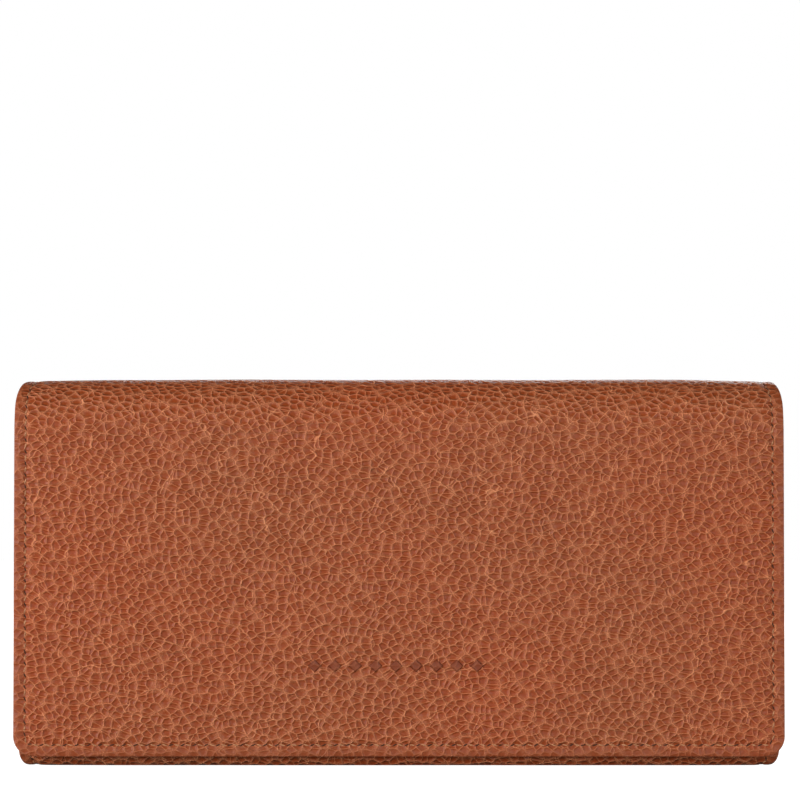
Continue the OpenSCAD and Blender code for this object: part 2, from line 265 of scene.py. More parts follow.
def buildSheet(name, sheet, face, rim):
    # cut flat with rounded rims, then laid along its path
    across, along = crossings(sheet), stations(sheet)
    bm = bmesh.new()
    uv = bm.loops.layers.uv.new("pattern")
    fade = bm.verts.layers.float.new("edgeFade")
    bmesh.ops.create_grid(bm, x_segments=len(across) - 1, y_segments=len(along) - 1, size=1)
    for vert in bm.verts:
        column = round((vert.co.x + 1) / 2 * (len(across) - 1))
        row = round((vert.co.y + 1) / 2 * (len(along) - 1))
        run = along[row]
        vert.co = (across[column] * halfAt(sheet, run), run, 0)
    thickened(bm, bm.faces[:], -sheet["thickness"])
    bmesh.ops.recalc_face_normals(bm, faces=bm.faces[:])
    total, tiny = lengthOf(sheet["path"]), 1e-7
    cuts = ([] if sheet["startEdge"] else [0]) + ([] if sheet["endEdge"] else [total])

    def onCut(item):
        return any(all(abs(v.co.y - cut) < tiny for v in item.verts) for cut in cuts)

    for item in bm.faces:
        item.material_index = 1 if abs(item.normal.z) < 0.5 and not onCut(item) else 0
    rims = [
        edge for edge in bm.edges
        if len(edge.link_faces) == 2 and not onCut(edge)
        and abs(abs(edge.link_faces[0].normal.z) - abs(edge.link_faces[1].normal.z)) > 0.5
    ]
    softened(bm, rims, sheet["bevel"], clamp_overlap=True)
    bm.normal_update()
    # the outer step of the bevel takes the rim material; on the outer leather that is the pale edge paint,
    # which also paints a highlight line along the rim
    for item in bm.faces:
        if abs(item.normal.z) < 0.85 and not onCut(item):
            item.material_index = 1
        for loop in item.loops:
            co = loop.vert.co
            sideways = math.copysign(co.z, co.x)
            loop[uv].uv = (co.x + sideways, sheet["uvStart"] + co.y + co.z)
    for vert in bm.verts:
        x, run, depth = vert.co.x, min(total, max(0, vert.co.y)), -vert.co.z
        away = edgeDistance(sheet, x, run)
        # edgeFade is 1 at the rim and 0 inside: the grained leather fades its grain there and darkens it as
        # painted shade
        vert[fade] = 1 - smooth(away, 0.4 * mm, sheet["seam"] + 0.8 * mm)
        vert.co = placeOn(sheet, x, run, depth)
    bmesh.ops.recalc_face_normals(bm, faces=bm.faces[:])
    return finishMesh(bm, name, [face, rim])


backPath = {
    "start": (baseMidY, 0), "heading": 0,
    "legs": [
        (backHigh.y - 4 * mm - baseMidY, 0), quarter(4 * mm), (topZ - backRoll - 4 * mm, 0),
        quarter(backRoll), (backHigh.y - backRoll - spineMidY, 0),
    ],
}
flapPath = {
    "start": (spineMidY, topZ), "heading": math.pi,
    "legs": [(spineMidY - flapLow.y - flapRoll, 0), quarter(flapRoll), (topZ - flapRoll - flapLow.z, 0)],
}


def socketOn(group, name, kind, way, value=None):
    made = group.interface.new_socket(name=name, in_out=way, socket_type=kind)
    if value is not None:
        made.default_value = value
    return made


def mathNode(tree, operation, first, second=None, third=None):
    node = tree.nodes.new("ShaderNodeMath")
    node.operation = operation
    for index, value in enumerate((first, second, third)):
        if value is None:
            continue
        if isinstance(value, (int, float)):
            node.inputs[index].default_value = value
        else:
            tree.links.new(value, node.inputs[index])
    return node.outputs[0]


def times(tree, first, second):
    return mathNode(tree, "MULTIPLY", first, second)


def timesPlus(tree, first, second, third):
    return mathNode(tree, "MULTIPLY_ADD", first, second, third)


def feed(shader, socket, value):
    shader.id_data.links.new(value, shader.inputs[socket])


def rangeNode(tree, value, low, high, toLow=0.0, toHigh=1.0, kind="SMOOTHSTEP"):
    node = tree.nodes.new("ShaderNodeMapRange")
    node.interpolation_type = kind
    for index, number in enumerate((low, high, toLow, toHigh), 1):
        if isinstance(number, (int, float)):
            node.inputs[index].default_value = number
        else:
            tree.links.new(number, node.inputs[index])
    tree.links.new(value, node.inputs[0])
    return node.outputs[0]


def mixColour(tree, share, first, second, blend="MIX"):
    node = tree.nodes.new("ShaderNodeMix")
    node.data_type = "RGBA"
    node.blend_type = blend
    for socket, value in ((node.inputs[0], share), (node.inputs[6], first), (node.inputs[7], second)):
        if isinstance(value, (int, float)):
            socket.default_value = value
        elif isinstance(value, tuple):
            socket.default_value = (*value, 1)
        else:
            tree.links.new(value, socket)
    return node.outputs[2]


def noiseNode(tree, vector, scale, detail=2.0, roughness=0.5):
    node = tree.nodes.new("ShaderNodeTexNoise")
    node.inputs["Scale"].default_value = scale
    node.inputs["Detail"].default_value = detail
    node.inputs["Roughness"].default_value = roughness
    tree.links.new(vector, node.inputs["Vector"])
    return node


def cellNode(tree, vector, scale, feature, randomness=0.9):
    node = tree.nodes.new("ShaderNodeTexVoronoi")
    node.feature = feature
    node.voronoi_dimensions = "2D"
    node.inputs["Scale"].default_value = scale
    node.inputs["Randomness"].default_value = randomness
    tree.links.new(vector, node.inputs["Vector"])
    return node


def bentVector(tree, vector, scale, amount):
    # the coordinates, pushed about by soft noise
    wobble = noiseNode(tree, vector, scale, 2.0)
    centred = tree.nodes.new("ShaderNodeVectorMath")
    centred.operation = "SUBTRACT"
    centred.inputs[1].default_value = (0.5, 0.5, 0.5)
    tree.links.new(wobble.outputs["Color"], centred.inputs[0])
    scaled = tree.nodes.new("ShaderNodeVectorMath")
    scaled.operation = "SCALE"
    scaled.inputs["Scale"].default_value = amount
    tree.links.new(centred.outputs[0], scaled.inputs[0])
    added = tree.nodes.new("ShaderNodeVectorMath")
    added.operation = "ADD"
    tree.links.new(vector, added.inputs[0])
    tree.links.new(scaled.outputs[0], added.inputs[1])
    return added.outputs[0]


def stretched(tree, vector, scale, turn=0.0):
    node = tree.nodes.new("ShaderNodeMapping")
    node.inputs["Scale"].default_value = scale
    node.inputs["Rotation"].default_value = (0, 0, math.radians(turn))
    tree.links.new(vector, node.inputs["Vector"])
    return node.outputs[0]


# scales per metre and turns in degrees, then how far soft noise pushes each pattern about
pebbles = {
    "cells": ((480, 580, 480), 28), "cellBend": (0.45, 0.4), "cellFineBend": (2.3, 0.16), "scatter": 0.95,
    "small": ((1000, 1250, 1000), 0), "smallBend": (0.9, 0.5), "folds": ((85, 210, 85), 22),
    "foldBend": (0.8, 1.1), "lineWide": 0.05, "smallWide": 0.1, "foldWide": 0.022, "patches": 95,
    "pores": 3400,
}


def pebbleGrainGroup():
    # tumbled hide: dark domed cells, paler creased ground between them (partly pale pulled-up leather,
    # partly painted highlight on the crease slopes), and longer folds across
    group = bpy.data.node_groups.new("pebbleGrain", "ShaderNodeTree")
    socketOn(group, "Vector", "NodeSocketVector", "INPUT")
    for name in ("Height", "Crease", "Tone"):
        socketOn(group, name, "NodeSocketFloat", "OUTPUT")
    start = group.nodes.new("NodeGroupInput")
    end = group.nodes.new("NodeGroupOutput")
    vector = start.outputs["Vector"]
    cells = bentVector(group, stretched(group, vector, *pebbles["cells"]), *pebbles["cellBend"])
    cells = bentVector(group, cells, *pebbles["cellFineBend"])
    edges = cellNode(group, cells, 1.0, "DISTANCE_TO_EDGE", pebbles["scatter"]).outputs["Distance"]
    core = cellNode(group, cells, 1.0, "F1", pebbles["scatter"])
    small = bentVector(group, stretched(group, vector, *pebbles["small"]), *pebbles["smallBend"])
    smallEdges = cellNode(group, small, 1.0, "DISTANCE_TO_EDGE", 1.0).outputs["Distance"]
    creased = bentVector(group, stretched(group, vector, *pebbles["folds"]), *pebbles["foldBend"])
    foldEdges = cellNode(group, creased, 1.0, "DISTANCE_TO_EDGE", 1.0).outputs["Distance"]
    patches = noiseNode(group, vector, pebbles["patches"], 3.0).outputs["Fac"]
    pores = noiseNode(group, vector, pebbles["pores"], 2.0).outputs["Fac"]
    nearCore = rangeNode(group, patches, 0.3, 0.7, 0.26, 0.16)
    ground = rangeNode(group, core.outputs["Distance"], nearCore, 0.64)
    line = rangeNode(group, edges, 0.0, pebbles["lineWide"], 1.0, 0.0)
    smallLine = rangeNode(group, smallEdges, 0.0, pebbles["smallWide"], 1.0, 0.0)
    foldLine = rangeNode(group, foldEdges, 0.0, pebbles["foldWide"], 1.0, 0.0)
    fine = times(group, smallLine, timesPlus(group, ground, 0.92, 0.04))
    crease = timesPlus(group, fine, 0.36, times(group, ground, 0.15))
    crease = timesPlus(group, line, 0.52, crease)
    crease = timesPlus(group, foldLine, 0.55, crease)
    group.links.new(mathNode(group, "MINIMUM", crease, 1.0), end.inputs["Crease"])
    height = timesPlus(group, ground, -0.55, rangeNode(group, edges, 0.0, 0.3, 0.0, 0.5))
    height = timesPlus(group, fine, -0.3, height)
    height = timesPlus(group, foldLine, -0.45, height)
    group.links.new(timesPlus(group, pores, 0.1, height), end.inputs["Height"])
    split = group.nodes.new("ShaderNodeSeparateColor")
    group.links.new(core.outputs["Color"], split.inputs[0])
    tone = timesPlus(group, split.outputs[0], 0.5, times(group, patches, 0.5))
    group.links.new(tone, end.inputs["Tone"])
    return group


def weaveGroup():
    # crossing threads, one over and one under
    group = bpy.data.node_groups.new("threadWeave", "ShaderNodeTree")
    socketOn(group, "Vector", "NodeSocketVector", "INPUT")
    socketOn(group, "Threads", "NodeSocketFloat", "INPUT", 2000.0)
    for name in ("Height", "Gap"):
        socketOn(group, name, "NodeSocketFloat", "OUTPUT")
    start = group.nodes.new("NodeGroupInput")
    end = group.nodes.new("NodeGroupOutput")
    split = group.nodes.new("ShaderNodeSeparateXYZ")
    group.links.new(start.outputs["Vector"], split.inputs[0])
    waves = []
    for axis, other in ((0, 1), (1, 0)):
        along = times(group, split.outputs[axis], start.outputs["Threads"])
        across = times(group, split.outputs[other], start.outputs["Threads"])
        shifted = mathNode(group, "ADD", along, mathNode(group, "FLOOR", across))
        under = mathNode(group, "SINE", times(group, shifted, math.pi))
        ridge = mathNode(group, "ABSOLUTE", mathNode(group, "SINE", times(group, across, math.pi)))
        waves.append(times(group, ridge, timesPlus(group, under, 0.4, 0.6)))
    height = mathNode(group, "MAXIMUM", waves[0], waves[1])
    group.links.new(height, end.inputs["Height"])
    group.links.new(rangeNode(group, height, 0.1, 0.5, 1.0, 0.0), end.inputs["Gap"])
    return group


groups = {"pebbleGrain": pebbleGrainGroup(), "threadWeave": weaveGroup()}


def newMaterial(name, roughness, specular):
    material = bpy.data.materials.new(name)
    material.use_nodes = True
    tree = material.node_tree
    shader = tree.nodes["Principled BSDF"]
    shader.inputs["Roughness"].default_value = roughness
    shader.inputs["Specular IOR Level"].default_value = specular
    return material, tree, shader


def groupNode(tree, name, vector, **values):
    node = tree.nodes.new("ShaderNodeGroup")
    node.node_tree = groups[name]
    tree.links.new(vector, node.inputs["Vector"])
    for key, value in values.items():
        node.inputs[key].default_value = value
    return node


def bumpInto(tree, shader, height, distance, strength=1.0):
    bump = tree.nodes.new("ShaderNodeBump")
    bump.inputs["Distance"].default_value = distance
    bump.inputs["Strength"].default_value = strength
    tree.links.new(height, bump.inputs["Height"])
    feed(shader, "Normal", bump.outputs[0])


def patternVector(tree):
    node = tree.nodes.new("ShaderNodeUVMap")
    node.uv_map = "pattern"
    return node.outputs[0]


def objectVector(tree):
    return tree.nodes.new("ShaderNodeTexCoord").outputs["Object"]


def attributeNode(tree, name):
    node = tree.nodes.new("ShaderNodeAttribute")
    node.attribute_name = name
    return node.outputs["Fac"]


def lozengeRow(tree, vector, row):
    # a plain pressed row of lozenges
    split = tree.nodes.new("ShaderNodeSeparateXYZ")
    tree.links.new(vector, split.inputs[0])
    fromMiddle = mathNode(tree, "SUBTRACT", split.outputs[0], row["x"])
    steps = mathNode(tree, "DIVIDE", fromMiddle, row["pitch"])
    within = mathNode(tree, "PINGPONG", mathNode(tree, "ADD", steps, 0.5), 0.5)
    across = mathNode(tree, "SUBTRACT", 1.0, times(tree, within, 2.0))
    upright = mathNode(tree, "ABSOLUTE", mathNode(tree, "SUBTRACT", split.outputs[1], row["run"]))
    size = mathNode(tree, "ADD", across, mathNode(tree, "DIVIDE", upright, row["high"] / 2))
    drawn = rangeNode(tree, size, 0.56, 0.72, 1.0, 0.0)
    inRow = mathNode(tree, "LESS_THAN", mathNode(tree, "ABSOLUTE", fromMiddle), row["wide"] / 2)
    return times(tree, drawn, inRow)


# crease: pale crease colour, partly the pale pulled-up leather in the creases and partly painted highlight
# where the crease slopes catch the light
grainLook = {
    "cell": (0.275, 0.054, 0.012), "cellDark": (0.205, 0.039, 0.009), "crease": (0.72, 0.28, 0.13),
    # edge: painted shade, darker towards the rims where the leather rolls over
    "creaseShare": 1.08, "edge": (0.22, 0.055, 0.02), "roughness": 0.5, "specular": 0.24,
    "bump": 0.34 * mm, "pressed": (0.165, 0.032, 0.01),
    "ornament": {
        "x": -0.8 * mm, "wide": 45 * mm, "pitch": 5 * mm, "high": 4.6 * mm,
        "run": lengthOf(backPath) + lengthOf(flapPath) - 22.3 * mm,
    },
}


def grainedLeather(name, look):
    material, tree, shader = newMaterial(name, look["roughness"], look["specular"])
    vector = patternVector(tree)
    grain = groupNode(tree, "pebbleGrain", vector)
    edgeFade = attributeNode(tree, "edgeFade")
    cell = mixColour(tree, grain.outputs["Tone"], look["cellDark"], look["cell"])
    share = timesPlus(tree, edgeFade, -0.3, look["creaseShare"])
    shown = times(tree, grain.outputs["Crease"], share)
    # partly painted highlight: the creases take the pale crease colour, partly the leather's own pale
    # creases and partly the light their slopes catch
    toneWithPaintedLight = mixColour(tree, shown, cell, look["crease"])
    broad = noiseNode(tree, vector, 14, 2.0).outputs["Fac"]
    toneWithPaintedLight = mixColour(tree, rangeNode(tree, broad, 0.3, 0.7, 0.0, 0.22), toneWithPaintedLight, look["crease"], "SOFT_LIGHT")
    # painted shade: darker towards the rims, where the sheet rolls over
    toneWithPaintedLight = mixColour(tree, times(tree, edgeFade, 0.45), toneWithPaintedLight, look["edge"])
    pressed = lozengeRow(tree, vector, look["ornament"])
    toneWithPaintedLight = mixColour(tree, times(tree, pressed, 0.8), toneWithPaintedLight, look["pressed"])
    feed(shader, "Base Color", toneWithPaintedLight)
    low, high = look["roughness"] - 0.05, look["roughness"] + 0.16
    feed(shader, "Roughness", rangeNode(tree, grain.outputs["Crease"], 0.0, 1.0, low, high))
    height = times(tree, grain.outputs["Height"], timesPlus(tree, edgeFade, -0.55, 1.0))
    height = times(tree, height, timesPlus(tree, pressed, -0.7, 1.0))
    height = timesPlus(tree, pressed, -1.6, height)
    bumpInto(tree, shader, height, look["bump"])
    return material


def smoothLeather(name, dark, light, roughness=0.5, scale=900):
    material, tree, shader = newMaterial(name, roughness, 0.4)
    vector = patternVector(tree)
    cells = bentVector(tree, stretched(tree, vector, (scale,) * 3), 0.8, 0.8)
    fine = cellNode(tree, cells, 1.0, "DISTANCE_TO_EDGE").outputs["Distance"]
    soft = noiseNode(tree, vector, 34, 4.0).outputs["Fac"]
    fleck = noiseNode(tree, vector, 1500, 2.0).outputs["Fac"]
    colour = mixColour(tree, rangeNode(tree, soft, 0.1, 0.9), dark, light)
    line = rangeNode(tree, fine, 0.0, 0.16, 0.35, 0.0)
    colour = mixColour(tree, line, colour, dark, "MULTIPLY")
    feed(shader, "Base Color", colour)
    feed(shader, "Roughness", rangeNode(tree, fleck, 0.3, 0.7, roughness - 0.06, roughness + 0.08))
    height = timesPlus(tree, fleck, 0.4, rangeNode(tree, fine, 0.0, 0.25))
    bumpInto(tree, shader, height, 0.05 * mm)
    return material


def paintedEdge(name, dark, light):
    # edge paint over cut leather, a little uneven
    material, tree, shader = newMaterial(name, 0.38, 0.5)
    vector = patternVector(tree)
    uneven = noiseNode(tree, vector, 700, 3.0).outputs["Fac"]
    fibre = noiseNode(tree, vector, 4200, 2.0).outputs["Fac"]
    feed(shader, "Base Color", mixColour(tree, rangeNode(tree, uneven, 0.3, 0.7), dark, light))
    feed(shader, "Roughness", rangeNode(tree, uneven, 0.2, 0.8, 0.3, 0.5))
    bumpInto(tree, shader, timesPlus(tree, fibre, 0.4, uneven), 0.05 * mm)
    return material


def threadLook(name, dark, light):
    # two plies twisted round each other, with a waxy sheen
    material, tree, shader = newMaterial(name, 0.55, 0.35)
    shader.inputs["Sheen Weight"].default_value = 0.08
    vector = objectVector(tree)
    twisted = stretched(tree, vector, (5200, 5200, 3000), 35)
    plies = noiseNode(tree, twisted, 1.0, 1.0).outputs["Fac"]
    feed(shader, "Base Color", mixColour(tree, rangeNode(tree, plies, 0.35, 0.65), dark, light))
    feed(shader, "Roughness", rangeNode(tree, plies, 0.3, 0.7, 0.62, 0.48))
    bumpInto(tree, shader, plies, 0.05 * mm)
    return material


def wovenLook(name, dark, light, threads, useObject=False):
    material, tree, shader = newMaterial(name, 0.8, 0.25)
    shader.inputs["Sheen Weight"].default_value = 0.3
    vector = objectVector(tree) if useObject else patternVector(tree)
    weave = groupNode(tree, "threadWeave", vector, Threads=threads)
    soft = noiseNode(tree, vector, 300, 3.0).outputs["Fac"]
    colour = mixColour(tree, rangeNode(tree, soft, 0.2, 0.8), dark, light)
    # painted shade: the gaps between the threads are darkened
    colour = mixColour(tree, times(tree, weave.outputs["Gap"], 0.6), colour, dark, "MULTIPLY")
    feed(shader, "Base Color", colour)
    bumpInto(tree, shader, weave.outputs["Height"], 0.1 * mm)
    return material


def metalLook(name, dark, light, roughness):
    material, tree, shader = newMaterial(name, roughness, 0.5)
    shader.inputs["Metallic"].default_value = 1.0
    vector = objectVector(tree)
    brushed = noiseNode(tree, stretched(tree, vector, (300, 2600, 2600)), 1.0, 3.0).outputs["Fac"]
    stain = noiseNode(tree, vector, 420, 3.0).outputs["Fac"]
    feed(shader, "Base Color", mixColour(tree, rangeNode(tree, stain, 0.1, 0.6), dark, light))
    feed(shader, "Roughness", rangeNode(tree, brushed, 0.3, 0.7, roughness - 0.08, roughness + 0.12))
    bumpInto(tree, shader, brushed, 0.02 * mm)
    return material


def boardLook(name, dark, light):
    material, tree, shader = newMaterial(name, 0.85, 0.2)
    vector = objectVector(tree)
    fibre = noiseNode(tree, stretched(tree, vector, (900, 900, 4000)), 1.0, 3.0).outputs["Fac"]
    feed(shader, "Base Color", mixColour(tree, rangeNode(tree, fibre, 0.3, 0.7), dark, light))
    bumpInto(tree, shader, fibre, 0.05 * mm)
    return material


looks = {
    "grain": grainedLeather("grainedTan", grainLook),
    "lining": smoothLeather("smoothLining", (0.225, 0.088, 0.043), (0.28, 0.112, 0.055)),
    "slot": smoothLeather("slotLeather", (0.22, 0.062, 0.027), (0.32, 0.098, 0.042), 0.46, 760),
    # the edge paint is real, and its paleness is also a painted highlight along the rounded rim
    "edge": paintedEdge("edgePaint", (0.32, 0.17, 0.115), (0.46, 0.27, 0.19)),
    "slotEdge": paintedEdge("slotEdgePaint", (0.13, 0.048, 0.023), (0.18, 0.068, 0.033)),
    "thread": threadLook("waxedThread", (0.3, 0.125, 0.05), (0.5, 0.235, 0.11)),
    # painted shade: the near-black colour of the blobs that stand for the awl holes
    "hole": smoothLeather("awlHole", (0.055, 0.018, 0.008), (0.085, 0.03, 0.014), 0.95),
    "tape": wovenLook("zipTape", (0.075, 0.03, 0.016), (0.13, 0.058, 0.03), 2400),
    "cloth": wovenLook("pocketCloth", (0.2, 0.115, 0.06), (0.32, 0.2, 0.115), 2600, True),
    "brass": metalLook("agedBrass", (0.55, 0.37, 0.17), (0.8, 0.59, 0.31), 0.27),
    "board": boardLook("fibreBoard", (0.3, 0.25, 0.18), (0.48, 0.42, 0.33)),
}
print("materials ready")


def seamLines(sheet):
    # the seam as one or two lines of (x, run), round the foot and over the mouth where it goes there
    total, half, fine = lengthOf(sheet["path"]), sheet["half"], 0.3 * mm
    inset = sheet["seam"]
    bend = max(0.6 * mm, sheet["corner"] - inset)
    arc = [(1 - math.cos(i * rightAngle / 6), 1 - math.sin(i * rightAngle / 6)) for i in range(7)]

    def upSide(low, high):
        count = max(1, round((high - low) / fine))
        return [low + (high - low) * i / count for i in range(count + 1)]

    def sideX(run):
        return widthAt(sheet, run) - inset

    low = inset + bend if sheet["topSeam"] else inset * 0.6 if sheet["startEdge"] else 0
    high = total - inset - bend if sheet["endEdge"] else total
    side = [(sideX(run), run) for run in upSide(low, high)]
    if sheet["topSeam"]:
        side = [(half - inset - bend * a, inset + bend * b) for a, b in reversed(arc)] + side
    if sheet["endEdge"]:
        side += [(half - inset - bend * a, total - inset - bend * b) for a, b in arc]
    mirrored = [(-x, run) for x, run in side]
    lines = [side + mirrored[::-1]] if sheet["endEdge"] else [side, mirrored]
    if sheet["topSeam"]:
        lines.append([(-side[0][0], inset), (side[0][0], inset)])
    return lines


def placesOn(line, pitch):
    # evenly spaced (x, run, across, along) down a line
    places, carried = [], pitch / 2
    for (x1, s1), (x2, s2) in zip(line, line[1:]):
        length = math.hypot(x2 - x1, s2 - s1)
        while length and carried <= length:
            across, along = (x2 - x1) / length, (s2 - s1) / length
            places.append((x1 + across * carried, s1 + along * carried, across, along))
            carried += pitch
        carried -= length
    return places


def shapeOf(make):
    # a small mesh to be stamped many times
    bm = bmesh.new()
    make(bm)
    mesh = bpy.data.meshes.new("shape")
    bm.to_mesh(mesh)
    bm.free()
    return mesh


def stamp(bm, shape, matrix):
    copy = shape.copy()
    copy.transform(matrix)
    bm.from_mesh(copy)
    bpy.data.meshes.remove(copy)


grainOfRice = shapeOf(lambda bm: bmesh.ops.create_uvsphere(bm, u_segments=8, v_segments=6, radius=1))


def stitchSeam(name, sheet, lines, look, slot, bodies, fold=None, back=False):
    # threads and the awl's slits, turn about, lying on the face or on the back of a sheet; the slits are
    # near-black blobs standing on the surface, painted shade of the holes
    meshes = {"Thread": bmesh.new(), "Holes": bmesh.new()}
    rng = random.Random(name)
    for line in lines:
        for index, (x, run, across, along) in enumerate(placesOn(line, look["pitch"] / 2)):
            which = ("Thread", "Holes")[index % 2]
            part = look[which]
            depth = sheet["thickness"] if back else 0
            origin = placeOn(sheet, x, run, depth)
            ahead = placeOn(sheet, x + across * 0.2 * mm, run + along * 0.2 * mm, depth) - origin
            ahead.normalize()
            a, b = walk(sheet["path"], run)[1]
            outward = Vector((0, -a, -b) if back else (0, a, b))
            beside = outward.cross(ahead).normalized()
            outward = ahead.cross(beside)
            slant = math.radians(part["slant"] + rng.uniform(-6, 6))
            lengthways = ahead * math.cos(slant) + beside * math.sin(slant)
            turn = Matrix((lengthways, outward.cross(lengthways), outward)).transposed().to_4x4()
            stretch = rng.uniform(0.9, 1.06)
            size = Matrix.Diagonal((part["long"] * stretch / 2, part["wide"] / 2, part["high"] / 2, 1))
            place = Matrix.Translation(origin + outward * part["lift"])
            stamp(meshes[which], grainOfRice, place @ turn @ size)
    meshes["Holes"].loops.layers.uv.new("pattern")
    for part, surface, partSlot in (("Thread", "thread", "thread"), ("Holes", "hole", slot)):
        settle(finishMesh(meshes[part], name + part, [looks[surface]]), bodies, fold=fold)


def seamOf(pitch, thread, slit, threadSlant, slitSlant):
    # thread and slit give their length, width, height and lift
    look = {"pitch": pitch * mm}
    for part, sizes, slant in (("Thread", thread, threadSlant), ("Holes", slit, slitSlant)):
        look[part] = dict(zip(("long", "wide", "high", "lift"), (size * mm for size in sizes)), slant=slant)
    return look


seamLook = seamOf(2.9, (1.65, 0.4, 0.44, 0), (1.45, 0.36, 0.2, 0.04), -17, 26)
innerSeamLook = seamOf(2.9, (1.9, 0.36, 0.36, 0.05), (0.7, 0.26, 0.1, 0.02), 7, 20)


hide = 1.2 * mm
leather = inMm(pillow=0.35, wave=0.16, seam=2.8, seamDepth=0.26)
frontPath = {
    "start": (frontLow.y, frontHigh.z), "heading": 3 * rightAngle,
    "legs": [(frontHigh.z - creaseZ, 0)],
}
footPath = {
    "start": (frontLow.y, creaseZ), "heading": 3 * rightAngle,
    "legs": [quarter(creaseZ), (baseMidY - frontLow.y - creaseZ, 0)],
}

flapSheet = leatherSheet(
    flapPath, flapHigh.x, hide, startEdge=False, corner=5 * mm, topPull=True,
    edgeRoll=0.22 * mm, bevel=0.36 * mm, uvStart=lengthOf(backPath), **leather,
)
backSheet = leatherSheet(
    backPath, backHigh.x, hide, startEdge=False, endEdge=False, topPull=True, footPull=True,
    flare=flapHigh.x - backHigh.x, edgeRoll=0.3 * mm, **leather,
)
frontSheet = leatherSheet(
    frontPath, frontHigh.x, hide, endEdge=False, footPull=True, corner=2 * mm, topSeam=True,
    edgeRoll=0.25 * mm, uvStart=-lengthOf(frontPath) - lengthOf(footPath), **leather,
)
footSheet = leatherSheet(
    footPath, frontHigh.x, hide, startEdge=False, endEdge=False, footPull=True,
    edgeRoll=0.25 * mm, uvStart=-lengthOf(footPath), **leather,
)

# which two bodies each part of the wallet's skin joins, and where it starts and ends bending
folds = {
    "flap": (("spine", "flap"), (flapLow.y + flapRoll, topZ), (flapLow.y, topZ - flapRoll)),
    "back": (("back", "spine"), (backHigh.y, topZ - backRoll), (backHigh.y - backRoll, topZ)),
    "front": (("pocket", "front"), (frontLow.y, creaseZ), (frontLow.y, creaseZ + 6 * mm)),
    "foot": (("back", "pocket"), (frontLow.y, 0.4 * mm), (frontLow.y, creaseZ)),
}


def skin(part, kind, sheet, face, rim, slot, nodes, look, back=False):
    # a sheet of the outer skin or of its lining, with its seam
    bodies, start, end = folds[part]
    fold = {"start": (0, *start), "end": (0, *end)}
    settle(buildSheet(part + kind, sheet, looks[face], looks[rim]), bodies, nodes, fold)
    if look:
        stitchSeam(part + kind, sheet, seamLines(sheet), look, slot, bodies, fold, back)


for part, sheet, nodes in (
    ("flap", flapSheet, ["flap_cover", "flap_stitches"]),
    ("back", backSheet, ["back_cover", "spine_cover", "back_stitches", "spine_stitches"]),
    ("front", frontSheet, ["front_cover", "front_stitches"]),
    ("foot", footSheet, []),
):
    skin(part, "Leather", sheet, "grain", "edge", "grained_leather", nodes, seamLook)
print("outer leather ready")


def blockMesh(bm, low, high, bevel, segments=1):
    size = Vector(high) - Vector(low)
    middle = (Vector(high) + Vector(low)) / 2
    place = Matrix.Translation(middle) @ Matrix.Diagonal((*size, 1))
    made = bmesh.ops.create_cube(bm, size=1, matrix=place)["verts"]
    softened(bm, list({edge for vert in made for edge in vert.link_edges}), bevel, segments)


lining = inMm(thickness=0.6, inset=1.2, over=0.5, seam=1.6)


def boardStep(sheet, x, run):
    # the lining lies on the leather at the rim and steps up over the board
    return hide + lining["over"] * smooth(edgeDistance(sheet, x, run), 2.4 * mm, 3.8 * mm)


def liningSheet(path, outerHalf, **given):
    sheet = leatherSheet(
        path, outerHalf - lining["inset"], lining["thickness"], bevel=0.14 * mm, edgeRoll=0,
        bandWidth=4.2 * mm, step=2.6 * mm, arcStep=1.2 * mm, **given,
    )
    sheet["depth"] = lambda x, run: boardStep(sheet, x, run)
    sheet["seam"] = lining["seam"]
    return sheet


def shortened(path, start=0, end=0):
    # the same path with its ends taken back
    (a, b), outward = walk(path, start)
    legs = [list(leg) for leg in path["legs"]]
    legs[0][0] -= start
    legs[-1][0] -= end
    return {"start": (a, b), "heading": path["heading"], "legs": legs}


flare = flapHigh.x - backHigh.x
cutFlap = shortened(flapPath, end=1.2 * mm)
endless = {"startEdge": False, "endEdge": False, "footPull": True}
for part, sheet, nodes, look in (
    (
        "flap", liningSheet(cutFlap, flapHigh.x, startEdge=False, corner=4 * mm, topPull=True),
        ["flap_lining"], innerSeamLook,
    ),
    (
        "back", liningSheet(backPath, backHigh.x, topPull=True, flare=flare, **endless),
        ["back_lining", "spine_lining", "base_lining"], innerSeamLook,
    ),
    ("front", liningSheet(frontPath, frontHigh.x, endEdge=False, footPull=True), ["front_lining"], None),
    ("foot", liningSheet(footPath, frontHigh.x, **endless), [], None),
):
    skin(part, "Lining", sheet, "lining", "slotEdge", "smooth_leather", nodes, look, True)
print("linings ready")


def panelSheet(node, facing, **given):
    # a flat upright sheet in place of a CAD panel, its good side towards -Y or +Y
    low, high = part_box(node)
    if facing < 0:
        path = {"start": (low.y, high.z), "heading": 3 * rightAngle, "legs": [(high.z - low.z, 0)]}
    else:
        path = {"start": (high.y, low.z), "heading": rightAngle, "legs": [(high.z - low.z, 0)]}
    fields = {
        "middleX": (low.x + high.x) / 2, "bevel": 0.18 * mm, "corner": 1 * mm, "bandWidth": 3 * mm,
        "step": 3 * mm, "edgeRoll": 0.08 * mm, "seam": 1.5 * mm, "seamDepth": 0.1 * mm,
    }
    fields.update(given)
    return leatherSheet(path, (high.x - low.x) / 2, high.y - low.y, **fields)


def lineAcross(sheet, run, inset):
    reach = sheet["half"] - inset
    return [(-reach, run), (reach, run)]


def lineDown(sheet, x, inset):
    return [(x, inset), (x, lengthOf(sheet["path"]) - inset)]


panelSeam = seamOf(2.6, (1.75, 0.36, 0.36, 0.03), (0.6, 0.26, 0.1, 0.01), 6, 20)


